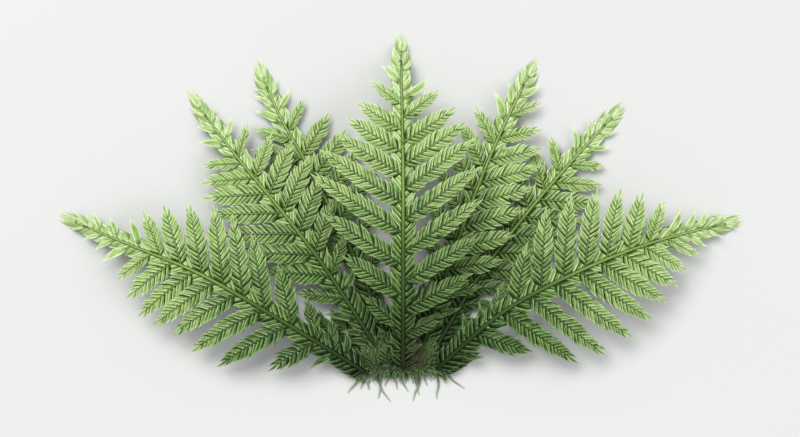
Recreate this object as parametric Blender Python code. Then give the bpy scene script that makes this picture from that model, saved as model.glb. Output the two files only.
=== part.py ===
"""An aquarium moss plant at its real size, lying on a surface.

Seven feathery fronds fan out from one short creeping stem, which holds the
plant down with a tuft of thin rhizoids. Each frond is a main stem with side
shoots that alternate left and right and shorten towards the tip. The fronds
lie over each other like a fanned hand of cards and arch up off the surface,
with their tips on it.

Lengths below are in millimetres. X runs across the fan, Y from the rhizoids
to the tip of the centre frond and Z up from the surface. The origin is at
the middle of the plant on the surface.
"""

import math

import bmesh
import bpy
from mathutils import Vector

MM = 0.001
COLLECTION_NAME = "aquarium_moss_plant"

# Cross-sections: a leafy shoot is a flat lance, a leafy main stem is rounder.
SHOOT_WIDTH = 2.3
SHOOT_THICKNESS = 0.64
SHOOT_SIDES = 4
STEM_WIDTH = 1.7
STEM_THICKNESS = 0.72
STEM_SIDES = 6

# Share of the full section along a side shoot and along a main stem, from
# base to tip. The stations of a main stem draw closer towards its tip.
SHOOT_SECTION = (0.45, 0.92, 1.0, 0.72, 0.12)
STEM_SECTION = (0.45, 0.7, 0.95, 1.0, 1.0, 1.0, 0.75, 0.1)
STEM_STATIONS = 15
STEM_CLOSING = 1.5

# Points of a swept tube closer than this are the same point.
WELD_DISTANCE = 0.002

# A side shoot climbs at first and then sinks: the climb as a share of the
# sinking, and the length of shoot that a row gives its droop for.
SHOOT_CLIMB = 0.45
DROOP_LENGTH = 10.0

# The creeping stem: points along its axis, its thickness and its end taper.
CREEPING_STEM = (
    (-5.6, -20.9, 0.65),
    (-3.0, -20.3, 0.75),
    (0.3, -20.5, 0.80),
    (3.2, -20.2, 0.75),
    (6.1, -20.6, 0.65),
)
CREEPING_STEM_RADIUS = 0.45
CREEPING_STEM_TAPER = (0.6, 0.95, 1.0, 1.0, 1.0, 0.95, 0.6)
CREEPING_STEM_STATIONS = 9

# Rhizoids: the place along X where one starts, then where its tip lies.
RHIZOIDS = (
    (-5.2, -7.1, -23.8),
    (-3.9, -4.3, -23.4),
    (-3.3, -1.4, -24.9),
    (-2.7, -3.2, -22.3),
    (-2.1, -3.0, -24.5),
    (-1.3, -2.1, -22.9),
    (-0.9, -0.4, -23.3),
    (-0.2, 1.0, -23.6),
    (1.0, 1.1, -22.1),
    (1.9, 2.5, -24.0),
    (2.8, 1.7, -24.8),
    (3.1, 3.6, -22.8),
    (4.1, 4.0, -22.1),
    (4.9, 4.9, -24.6),
    (5.1, 6.1, -22.5),
    (5.9, 8.6, -23.2),
)
RHIZOID_RADIUS = 0.15
RHIZOID_SECTION = (1.3, 1.0, 0.9, 0.75, 0.5)
# A rhizoid turns aside late, and it and a young shoot come down early: the
# powers of both curves.
RHIZOID_SWEEP = 1.5
RHIZOID_FALL = 1.8

# Young shoots that lie under the fronds: the place along X where one leaves the
# creeping stem, its angle to the left of Y and its length.
YOUNG_SHOOTS = (
    (-4.8, 54, 9.5),
    (-4.3, 43, 12.2),
    (-3.5, 36, 10.5),
    (0.5, 6, 9.5),
    (1.3, -8.5, 12.4),
    (4.7, -41, 8.6),
    (5.0, -50, 8.6),
    (5.4, -62, 6.5),
)
YOUNG_SHOOT_REST = 0.03

# Each frond: the way of its main stem in plan from the creeping stem to the
# tip, the heights of that stem at even steps, and its two rows of side shoots.
# A row gives every second shoot, from the tip end to the base end: its
# distance from the frond's tip, its length and its angle to the main stem.
# The shoots between them follow from their neighbours. The droop is how far
# a shoot of DROOP_LENGTH sinks at its tip. The curl is half the angle that it
# bends forward by.
FRONDS = {
    "frond_centre": {
        "way": ((0.35, -19.9), (0.35, -4.5), (0.35, 6.3), (0.1, 20.3), (0.1, 24.9)),
        "heights": (2.15, 7.0, 9.6, 8.6, 4.5, 0.12),
        "left": {
            "places": (7.2, 13.4, 19.4, 27.2, 35.6, 43.4),
            "lengths": (3.8, 7.4, 10.8, 14.8, 9.9, 5.0),
            "angles": (46, 57, 58, 57, 56, 44),
            "droop": 1.1,
            "curl": 0,
        },
        "right": {
            "places": (9.2, 15.0, 21.3, 29.7, 37.4, 43.2),
            "lengths": (4.7, 8.8, 11.8, 12.6, 10.4, 2.8),
            "angles": (50, 58, 55, 56, 63, 64),
            "droop": 1.1,
            "curl": 0,
        },
    },
    "frond_left_outer": {
        "way": ((-5.3, -20.6), (-16.4, -13.7), (-26.7, -7.8), (-36.4, -3.8), (-46.3, 0.2)),
        "heights": (1.75, 5.0, 6.8, 6.0, 3.1, 0.12),
        "left": {
            "places": (8.6, 13.9, 20.1, 26.6, 34.7, 42.2),
            "lengths": (3.5, 6.1, 10.2, 10.6, 11.4, 3.9),
            "angles": (57, 58, 65, 63, 62, 66),
            "droop": 2.2,
            "curl": -5,
        },
        "right": {
            "places": (6.5, 12.3, 18.2, 24.5, 31.0, 39.2, 43.6),
            "lengths": (3.3, 4.7, 8.7, 11.0, 10.5, 6.4, 4.1),
            "angles": (42, 46, 51, 54, 49, 45, 58),
            "droop": 1.1,
            "curl": 0,
        },
    },
    "frond_left_middle": {
        "way": ((-2.2, -19.3), (-9.8, -7.4), (-16.1, 0.9), (-22.0, 8.0), (-28.7, 16.8)),
        "heights": (1.0, 2.6, 3.7, 3.5, 2.1, 0.12),
        "left": {
            "places": (7.0, 12.1, 17.4, 24.4, 31.4, 38.5, 42.3),
            "lengths": (3.3, 5.6, 8.8, 10.8, 9.4, 4.6, 4.1),
            "angles": (38, 54, 54, 52, 52, 50, 56),
            "droop": 0.7,
            "curl": 0,
        },
        "right": {
            "places": (8.4, 14.7, 20.8, 27.6, 34.4),
            "lengths": (3.7, 6.6, 8.6, 7.6, 4.4),
            "angles": (48, 62, 63, 55, 54),
            "droop": 0.7,
            "curl": 0,
        },
    },
    "frond_left_inner": {
        "way": ((-1.0, -19.2), (-5.4, -7.2), (-12.2, 6.3), (-16.2, 13.4), (-19.5, 21.1)),
        "heights": (0.75, 1.3, 1.7, 1.7, 1.2, 0.12),
        "left": {
            "places": (5.8, 9.3, 14.9, 21.6, 29.0),
            "lengths": (3.2, 4.2, 7.2, 8.6, 5.5),
            "angles": (37, 40, 50, 54, 54),
            "droop": 0.4,
            "curl": 0,
        },
        "right": {
            "places": (7.6, 14.4, 20.8, 28.2, 36.0),
            "lengths": (3.4, 7.0, 8.4, 7.2, 4.0),
            "angles": (50, 62, 63, 60, 56),
            "droop": 0.4,
            "curl": 0,
        },
    },
    "frond_right_inner": {
        "way": ((2.5, -19.2), (5.9, -8.4), (9.8, 2.5), (13.6, 11.6), (18.4, 21.3)),
        "heights": (1.0, 2.6, 3.7, 3.5, 2.1, 0.12),
        "left": {
            "places": (7.6, 13.1, 20.0, 27.0, 34.0),
            "lengths": (3.4, 6.0, 8.2, 7.8, 4.6),
            "angles": (36, 50, 48, 52, 54),
            "droop": 0.7,
            "curl": 0,
        },
        "right": {
            "places": (6.1, 12.0, 18.4, 24.7, 30.9, 37.2),
            "lengths": (3.8, 6.2, 8.6, 8.5, 7.6, 4.0),
            "angles": (30, 54, 54, 55, 62, 60),
            "droop": 0.7,
            "curl": 0,
        },
    },
    "frond_right_middle": {
        "way": ((3.9, -19.2), (10.2, -8.6), (17.5, 1.0), (24.2, 8.7), (30.3, 15.2)),
        "heights": (0.75, 1.3, 1.7, 1.7, 1.2, 0.12),
        "left": {
            "places": (7.0, 12.9, 19.4, 26.5, 33.5),
            "lengths": (2.9, 5.4, 7.8, 8.0, 4.8),
            "angles": (48, 56, 56, 56, 54),
            "droop": 0.4,
            "curl": 0,
        },
        "right": {
            "places": (5.6, 11.2, 17.4, 23.5, 29.5, 35.2, 39.0),
            "lengths": (2.4, 5.0, 8.2, 8.6, 7.6, 4.8, 4.1),
            "angles": (42, 51, 55, 55, 55, 55, 58),
            "droop": 0.4,
            "curl": 0,
        },
    },
    "frond_right_outer": {
        "way": ((5.4, -20.1), (13.8, -12.8), (24.2, -7.2), (34.8, -3.2), (46.4, -0.4)),
        "heights": (1.75, 5.0, 6.8, 6.0, 3.1, 0.12),
        "left": {
            "places": (6.8, 10.8, 16.4, 22.7, 29.2, 36.6, 41.6),
            "lengths": (3.2, 4.5, 8.4, 10.7, 11.2, 5.1, 4.2),
            "angles": (50, 48, 56, 57, 58, 38, 52),
            "droop": 1.1,
            "curl": 3,
        },
        "right": {
            "places": (8.2, 14.2, 20.3, 27.0, 34.9, 43.5),
            "lengths": (3.8, 7.0, 10.6, 13.1, 12.2, 4.2),
            "angles": (42, 48, 54, 62, 69, 50),
            "droop": 2.2,
            "curl": 3,
        },
    },
}

# Base colour, roughness and metallic value of each material.
LEAF_GREEN = (0.20, 0.36, 0.09, 1.0)
STEM_BROWN = (0.20, 0.17, 0.07, 1.0)
SOFT_ROUGHNESS = 0.55


def between(values, share):
    """Read evenly spaced values at a share from 0 to 1, on a smooth curve."""
    steps = len(values) - 1
    place = min(max(share, 0.0), 1.0) * steps
    first = min(int(place), steps - 1)
    t = place - first
    before, start, end, after = (
        values[min(max(first + k, 0), steps)] for k in (-1, 0, 1, 2)
    )
    slope_in = (end - before) / 2
    slope_out = (after - start) / 2
    return (
        start * (2 * t**3 - 3 * t**2 + 1)
        + slope_in * (t**3 - 2 * t**2 + t)
        + end * (3 * t**2 - 2 * t**3)
        + slope_out * (t**3 - t**2)
    )


class Stem:
    """A smooth way through a few plan points, read by its length in mm."""

    FINE = 200  # steps that its length is measured in

    def __init__(self, way, heights):
        self.heights = heights
        points = [Vector(p) for p in way]
        self.points = [between(points, k / self.FINE) for k in range(self.FINE + 1)]
        self.lengths = [0.0]
        for a, b in zip(self.points, self.points[1:]):
            self.lengths.append(self.lengths[-1] + (b - a).length)
        self.length = self.lengths[-1]

    def plan(self, distance):
        distance = min(max(distance, 0.0), self.length)
        for k in range(self.FINE):
            if self.lengths[k + 1] >= distance:
                break
        t = (distance - self.lengths[k]) / (self.lengths[k + 1] - self.lengths[k])
        return self.points[k].lerp(self.points[k + 1], t)

    def at(self, distance):
        height = between(self.heights, distance / self.length)
        return self.plan(distance).to_3d() + Vector((0, 0, height))

    def direction(self, distance, reach=1.5):
        return (self.plan(distance + reach) - self.plan(distance - reach)).normalized()


def turned(direction, degrees):
    """A plan direction turned to the left by an angle."""
    angle = math.radians(degrees)
    return Vector((
        direction.x * math.cos(angle) - direction.y * math.sin(angle),
        direction.x * math.sin(angle) + direction.y * math.cos(angle),
    ))


def count(row):
    """How many shoots a row has, where it gives every second one."""
    return 2 * len(row["places"]) - 1


def shoot_way(stem, row, side, index, stations):
    """Points along one side shoot, from inside the main stem to its tip."""
    share = index / (count(row) - 1)
    from_base = stem.length - between(row["places"], share)
    length = between(row["lengths"], share)
    angle = between(row["angles"], share)
    forward = stem.direction(from_base)
    place = stem.at(from_base)
    sink = row["droop"] * (length / DROOP_LENGTH) ** 2
    points = []
    for k in range(stations):
        t = k / (stations - 1)
        height = sink * (SHOOT_CLIMB * t - (1 + SHOOT_CLIMB) * t**2)
        points.append(place + Vector((0, 0, height)))
        heading = turned(forward, side * (angle + row["curl"] * (1 - 2 * t)))
        place = place + (heading * (length / (stations - 1))).to_3d()
    return points


def new_object(name, data, collection):
    thing = bpy.data.objects.new(name, data)
    collection.objects.link(thing)
    return thing


def outline(name, width, thickness, sides, collection):
    """A closed outline, wider than it is thick, that a curve is swept with."""
    data = bpy.data.curves.new(name, "CURVE")
    data.dimensions = "2D"
    ring = data.splines.new("POLY")
    ring.points.add(sides - 1)
    for k, point in enumerate(ring.points):
        angle = 2 * math.pi * k / sides
        across = width / 2 * math.cos(angle) * MM
        up = thickness / 2 * math.sin(angle) * MM
        point.co = (across, up, 0, 1)
    ring.use_cyclic_u = True
    profile = new_object(name, data, collection)
    profile.hide_render = True
    profile.display_type = "WIRE"
    return profile


def swept(name, ways, section, collection, profile=None, radius=None):
    """One mesh of closed tubes, each swept along its own points."""
    data = bpy.data.curves.new(name, "CURVE")
    data.dimensions = "3D"
    data.twist_mode = "Z_UP"
    data.use_fill_caps = True
    if profile:
        data.bevel_mode = "OBJECT"
        data.bevel_object = profile
    else:
        data.bevel_depth = radius * MM
        data.bevel_resolution = 0
    for way in ways:
        spline = data.splines.new("POLY")
        spline.points.add(len(way) - 1)
        for k, (point, place) in enumerate(zip(spline.points, way)):
            point.co = (*(place * MM), 1)
            point.radius = between(section, k / (len(way) - 1))
    curve = new_object(name + "_curve", data, collection)
    mesh = bpy.data.meshes.new_from_object(
        curve.evaluated_get(bpy.context.evaluated_depsgraph_get())
    )
    mesh.name = name
    bpy.data.objects.remove(curve)
    bpy.data.curves.remove(data)
    welded = bmesh.new()
    welded.from_mesh(mesh)
    bmesh.ops.remove_doubles(welded, verts=welded.verts, dist=WELD_DISTANCE * MM)
    bmesh.ops.recalc_face_normals(welded, faces=welded.faces)
    welded.to_mesh(mesh)
    welded.free()
    mesh.shade_smooth()
    return mesh


def material(name, color, roughness):
    made = bpy.data.materials.new(name)
    made.use_nodes = True
    shader = made.node_tree.nodes["Principled BSDF"]
    shader.inputs["Base Color"].default_value = color
    shader.inputs["Roughness"].default_value = roughness
    shader.inputs["Metallic"].default_value = 0.0
    return made


def join(body, grown):
    """Join what grows from a body to it, as one solid."""
    grown.hide_render = True
    grown.display_type = "WIRE"
    union = body.modifiers.new("grown_together", "BOOLEAN")
    union.operation = "UNION"
    union.solver = "EXACT"
    union.use_self = True
    union.object = grown


def frond(name, form, profiles, parts, guides):
    """A main stem with its two rows of side shoots."""
    stem = Stem(form["way"], form["heights"])
    last = STEM_STATIONS - 1
    along = [
        stem.at(stem.length * (1 - (1 - k / last) ** STEM_CLOSING))
        for k in range(STEM_STATIONS)
    ]
    stem_mesh = swept(name, [along], STEM_SECTION, guides, profiles["stem"])
    shoots = [
        shoot_way(stem, form[row], side, index, len(SHOOT_SECTION))
        for row, side in (("left", 1), ("right", -1))
        for index in range(count(form[row]))
    ]
    shoot_mesh = swept(name + "_shoots", shoots, SHOOT_SECTION, guides, profiles["shoot"])
    body = new_object(name, stem_mesh, parts)
    join(body, new_object(name + "_shoots", shoot_mesh, guides))
    body.data.materials.append(material(name, LEAF_GREEN, SOFT_ROUGHNESS))
    return body


def rhizoid_way(start_x, tip_x, tip_y, knots):
    """A thread that leaves the creeping stem and comes down to the surface."""
    start = between(knots, (start_x - knots[0].x) / (knots[-1].x - knots[0].x))
    start.x = start_x
    tip = Vector((tip_x, tip_y, RHIZOID_RADIUS * RHIZOID_SECTION[-1]))
    points = []
    stations = len(RHIZOID_SECTION)
    for k in range(stations):
        t = k / (stations - 1)
        place = start.lerp(tip, t)
        place.x = start.x + (tip.x - start.x) * t**RHIZOID_SWEEP
        resting = RHIZOID_RADIUS * RHIZOID_SECTION[k]
        place.z = resting + (start.z - resting) * (1 - t) ** RHIZOID_FALL
        points.append(place)
    return points


def young_shoot_way(start_x, angle, length, knots):
    """A shoot that leaves the creeping stem and lies down on the surface."""
    start = between(knots, (start_x - knots[0].x) / (knots[-1].x - knots[0].x))
    heading = turned(Vector((0, 1)), angle).to_3d()
    points = []
    stations = len(SHOOT_SECTION)
    for k in range(stations):
        t = k / (stations - 1)
        place = start + heading * length * t
        resting = YOUNG_SHOOT_REST + SHOOT_THICKNESS / 2 * SHOOT_SECTION[k]
        place.z = resting + (start.z - resting) * (1 - t) ** RHIZOID_FALL
        points.append(place)
    return points


def creeping_stem(profiles, parts, guides):
    """The short stem that the fronds rise from, with its rhizoids and young shoots."""
    knots = [Vector(p) for p in CREEPING_STEM]
    last = CREEPING_STEM_STATIONS - 1
    along = [between(knots, k / last) for k in range(CREEPING_STEM_STATIONS)]
    stem_mesh = swept(
        "creeping_stem", [along], CREEPING_STEM_TAPER, guides, radius=CREEPING_STEM_RADIUS
    )
    threads = [rhizoid_way(*thread, knots) for thread in RHIZOIDS]
    thread_mesh = swept(
        "rhizoids", threads, RHIZOID_SECTION, guides, radius=RHIZOID_RADIUS
    )
    shoots = [young_shoot_way(*shoot, knots) for shoot in YOUNG_SHOOTS]
    shoot_mesh = swept("young_shoots", shoots, SHOOT_SECTION, guides, profiles["shoot"])
    body = new_object("creeping_stem", stem_mesh, parts)
    join(body, new_object("rhizoids", thread_mesh, guides))
    join(body, new_object("young_shoots", shoot_mesh, guides))
    body.data.materials.append(material("creeping_stem", STEM_BROWN, SOFT_ROUGHNESS))
    return body


def collection(name):
    made = bpy.data.collections.new(name)
    bpy.context.scene.collection.children.link(made)
    return made


def main():
    for thing in list(bpy.data.objects):
        bpy.data.objects.remove(thing)
    parts = collection(COLLECTION_NAME)
    guides = collection("guides")
    profiles = {
        "stem": outline("stem_outline", STEM_WIDTH, STEM_THICKNESS, STEM_SIDES, guides),
        "shoot": outline("shoot_outline", SHOOT_WIDTH, SHOOT_THICKNESS, SHOOT_SIDES, guides),
    }
    creeping_stem(profiles, parts, guides)
    for name, form in FRONDS.items():
        frond(name, form, profiles, parts, guides)


main()
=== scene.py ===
# %% [markdown]
# # A moss plant, leaf by leaf
#
# The real plant is about nine centimetres wide. Seven fronds fan out from a
# short creeping stem. A frond is a main stem with side shoots on both sides,
# and every shoot is clothed in small pointed leaves, set in two rows like the
# grains of an ear of wheat. There are a few thousand leaves, so none of them
# is placed by hand: this lesson draws the ways that the stems grow along,
# shapes three leaf blades for each side, and lets Geometry Nodes set them out.
#
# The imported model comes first. It is the fixed frame that all the detail is
# grown on.

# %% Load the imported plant
import math
import random

import bmesh
import bpy
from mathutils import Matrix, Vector


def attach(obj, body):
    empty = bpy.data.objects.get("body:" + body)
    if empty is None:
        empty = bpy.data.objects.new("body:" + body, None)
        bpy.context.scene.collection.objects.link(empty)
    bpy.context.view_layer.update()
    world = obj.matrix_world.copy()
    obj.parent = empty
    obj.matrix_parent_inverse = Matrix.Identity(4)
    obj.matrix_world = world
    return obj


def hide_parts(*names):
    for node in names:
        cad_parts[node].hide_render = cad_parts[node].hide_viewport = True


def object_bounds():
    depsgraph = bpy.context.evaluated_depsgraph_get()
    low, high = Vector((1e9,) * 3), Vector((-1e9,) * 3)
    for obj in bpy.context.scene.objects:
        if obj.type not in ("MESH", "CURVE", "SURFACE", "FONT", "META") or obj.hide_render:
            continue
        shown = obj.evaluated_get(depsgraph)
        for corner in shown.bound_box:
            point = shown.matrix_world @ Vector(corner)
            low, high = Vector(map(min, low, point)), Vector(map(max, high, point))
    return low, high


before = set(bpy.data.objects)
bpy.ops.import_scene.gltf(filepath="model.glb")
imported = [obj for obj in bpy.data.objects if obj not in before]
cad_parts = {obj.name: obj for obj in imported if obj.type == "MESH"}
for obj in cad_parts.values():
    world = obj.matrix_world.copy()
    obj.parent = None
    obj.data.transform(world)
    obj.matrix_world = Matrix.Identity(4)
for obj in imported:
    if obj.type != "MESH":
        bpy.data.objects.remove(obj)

MM = 0.001
cad_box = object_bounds()
size_mm = [round((high - low) / MM, 1) for low, high in zip(*cad_box)]
print("plant", size_mm, "mm, nodes", sorted(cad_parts))

# %% [markdown]
# ## Camera, light and floor
#
# The plant lies on a pale surface and the camera looks straight down on it. A
# long lens keeps the perspective slight, as in a botanical plate. The width
# that the picture covers and the distance give the focal length.
#
# Leaves a millimetre long show only if light falls across them, so the main
# soft box stands off to the upper left, and a weaker one fills from the right.

# %% Point a camera straight down
PICTURE_WIDTH = 108.0  # mm of the surface that the picture covers
PICTURE_MIDDLE = (-0.07, -0.27)
CAMERA_HEIGHT = 900.0

camera_data = bpy.data.cameras.new("camera")
camera_data.sensor_width = 36.0
camera_data.lens = camera_data.sensor_width * CAMERA_HEIGHT / PICTURE_WIDTH
camera_data.clip_start = 0.01
camera_data.clip_end = 10.0
camera = bpy.data.objects.new("camera", camera_data)
camera.location = Vector((*PICTURE_MIDDLE, CAMERA_HEIGHT)) * MM
bpy.context.scene.collection.objects.link(camera)
bpy.context.scene.camera = camera
bpy.context.scene.view_settings.view_transform = "Standard"
print("lens", round(camera_data.lens), "mm")


# %% Set up the lamps
def soft_box(name, place, side, power):
    """A square area lamp that faces the plant, in metres and watts."""
    data = bpy.data.lights.new(name, "AREA")
    data.size = side
    data.energy = power
    lamp = bpy.data.objects.new(name, data)
    lamp.location = place
    lamp.rotation_euler = (-Vector(place)).to_track_quat("-Z", "Y").to_euler()
    bpy.context.scene.collection.objects.link(lamp)
    print(name, round(lamp.location.length, 2), "m away")


soft_box("key_light", (-0.39, 0.63, 1.14), side=0.78, power=15.8)
soft_box("fill_light", (0.90, -0.30, 1.05), side=0.90, power=5.4)

world = bpy.data.worlds.new("studio")
world.use_nodes = True
sky = world.node_tree.nodes["Background"].inputs
sky["Color"].default_value = (0.93, 0.96, 1.0, 1)
sky["Strength"].default_value = 0.46
bpy.context.scene.world = world

# %% [markdown]
# ## A few helpers for node trees
#
# Geometry Nodes and materials are both trees of nodes. In Blender's editor they
# are drawn by hand. Here each line adds a node and joins its inputs, so that a
# tree reads from its first line to its last like a recipe. An output is held as
# a `Value`, and plain signs reckon with it: `gap * 0.5` adds a math node that
# halves the gap.


# %% Reckon with the outputs of nodes
class Value:
    """An output of a node. A sign beside it, or its `math`, adds a math node."""

    def __init__(self, socket):
        self.socket = socket
        self.tree = socket.id_data

    def math(self, operation, *others):
        return math_of(self.tree, operation, self, *others)

    def __add__(self, other):
        return self.math("ADD", other)

    def __sub__(self, other):
        return self.math("SUBTRACT", other)

    def __rsub__(self, other):
        return math_of(self.tree, "SUBTRACT", other, self)

    def __mul__(self, other):
        return self.math("MULTIPLY", other)

    def __truediv__(self, other):
        return self.math("DIVIDE", other)

    def __mod__(self, other):
        return self.math("MODULO", other)

    def __gt__(self, other):
        return self.math("GREATER_THAN", other)

    def __lt__(self, other):
        return self.math("LESS_THAN", other)


# %% Add a node and join its inputs
def socket_of(sockets, name):
    """The live socket with that name or identifier, or the one with that number."""
    if isinstance(name, int):
        return sockets[name]
    for socket in sockets:
        if socket.enabled and name in (socket.name, socket.identifier):
            return socket
    raise KeyError(f"no live socket {name} among {[s.name for s in sockets]}")


def fill(made, inputs):
    """Join or set the inputs of a node by name."""
    for name, value in inputs.items():
        socket = socket_of(made.inputs, name)
        if isinstance(value, Value):
            made.id_data.links.new(value.socket, socket)
        else:
            socket.default_value = value


def node(tree, kind, inputs=None, **settings):
    """Add a node, set its properties, then fill its inputs by name."""
    made = tree.nodes.new(kind)
    for name, value in settings.items():
        setattr(made, name, value)
    fill(made, inputs or {})
    return made


def out(made, name=None):
    """The live output of a node, or the one with that name."""
    if name:
        return Value(socket_of(made.outputs, name))
    return Value(next(s for s in made.outputs if s.enabled))


def math_of(tree, operation, *values, clamp=False):
    inputs = dict(enumerate(values))
    return out(node(tree, "ShaderNodeMath", inputs, operation=operation, use_clamp=clamp))


# %% The same for vectors
def vector_of(tree, operation, *values):
    inputs = dict(enumerate(values))
    return out(node(tree, "ShaderNodeVectorMath", inputs, operation=operation))


def scaled(tree, vector, factor):
    inputs = {0: vector, "Scale": factor}
    return out(node(tree, "ShaderNodeVectorMath", inputs, operation="SCALE"))


def joined(tree, x=0.0, y=0.0, z=0.0):
    return out(node(tree, "ShaderNodeCombineXYZ", {"X": x, "Y": y, "Z": z}))


def split(vector):
    """The x, y and z of a vector."""
    made = node(vector.tree, "ShaderNodeSeparateXYZ", {"Vector": vector})
    return [out(made, axis) for axis in "XYZ"]


# %% Start a tree, and lay it out when it is done
def new_group(name, kind, inputs, outputs):
    """A tree with named inputs and outputs, and the values that it is given."""
    tree = bpy.data.node_groups.new(name, kind)
    for in_out, kinds in (("INPUT", inputs), ("OUTPUT", outputs)):
        for label, data in kinds.items():
            tree.interface.new_socket(name=label, in_out=in_out, socket_type="NodeSocket" + data)
    given = {s.name: Value(s) for s in node(tree, "NodeGroupInput").outputs if s.name}
    return tree, given


def new_material(name):
    """A material and its tree, with the shader and nothing else joined yet."""
    made = bpy.data.materials.new(name)
    made.use_nodes = True
    return made, made.node_tree, made.node_tree.nodes["Principled BSDF"]


def arrange(tree):
    """Lay the nodes out from left to right, for a reader who opens the editor."""
    depth = {}

    def column(made):
        if made.name not in depth:
            depth[made.name] = 0
            feeds = [link.from_node for socket in made.inputs for link in socket.links]
            depth[made.name] = 1 + max([column(f) for f in feeds], default=0)
        return depth[made.name]

    rows = {}
    for made in tree.nodes:
        rows.setdefault(column(made), []).append(made)
    for place, column_nodes in rows.items():
        for row, made in enumerate(column_nodes):
            made.location = (place * 220, -row * 200)


# %% [markdown]
# ## The pale floor
#
# A plain surface needs a little life too, or it reads as an empty backdrop. A
# faint, broad mottling is enough, and it stays far below what the eye would
# call a pattern.


# %% Lay the floor
def noise(vector, scale, detail=2.0, rough=0.5):
    inputs = {"Vector": vector, "Scale": scale, "Detail": detail, "Roughness": rough}
    return out(node(vector.tree, "ShaderNodeTexNoise", inputs), "Fac")


def blend(share, first, second):
    """Mix two colours, each a value or a plain (r, g, b)."""
    inputs = {"Factor_Float": share}
    for name, color in (("A_Color", first), ("B_Color", second)):
        inputs[name] = color if isinstance(color, Value) else (*color, 1.0)
    return out(node(share.tree, "ShaderNodeMix", inputs, data_type="RGBA"), "Result_Color")


floor_paper, tree, shader = new_material("floor_paper")
where = out(node(tree, "ShaderNodeTexCoord"), "Object")
paper = blend(noise(where, 9.0, 3.0), (0.66, 0.66, 0.64), (0.71, 0.71, 0.69))
fill(shader, {"Base Color": paper, "Roughness": 0.8})
arrange(tree)

FLOOR_REACH = 2.0  # m from its middle to each side
corners = [(x * FLOOR_REACH, y * FLOOR_REACH, 0) for x, y in ((-1, -1), (1, -1), (1, 1), (-1, 1))]
floor_mesh = bpy.data.meshes.new("floor")
floor_mesh.from_pydata(corners, [], [(0, 1, 2, 3)])
floor = bpy.data.objects.new("floor", floor_mesh)
floor.data.materials.append(floor_paper)
bpy.context.scene.collection.objects.link(floor)
print("floor", 2 * FLOOR_REACH, "m square")

# %% [markdown]
# ## The ways that the stems grow
#
# The frame has each frond as a plain solid. Its stems have to run inside those
# solids, so the rules of growth are the same here as in the solid model: a few
# points give the way of a main stem, and two rows of side shoots are read off
# short lists of places, lengths and angles. Millimetres throughout.


# %% How each frond grows
def shoots(places, lengths, angles, droop, curl=0):
    """Every second shoot of one side, from the tip down. Places are mm from the tip."""
    return {"places": places, "lengths": lengths, "angles": angles, "droop": droop, "curl": curl}


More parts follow.
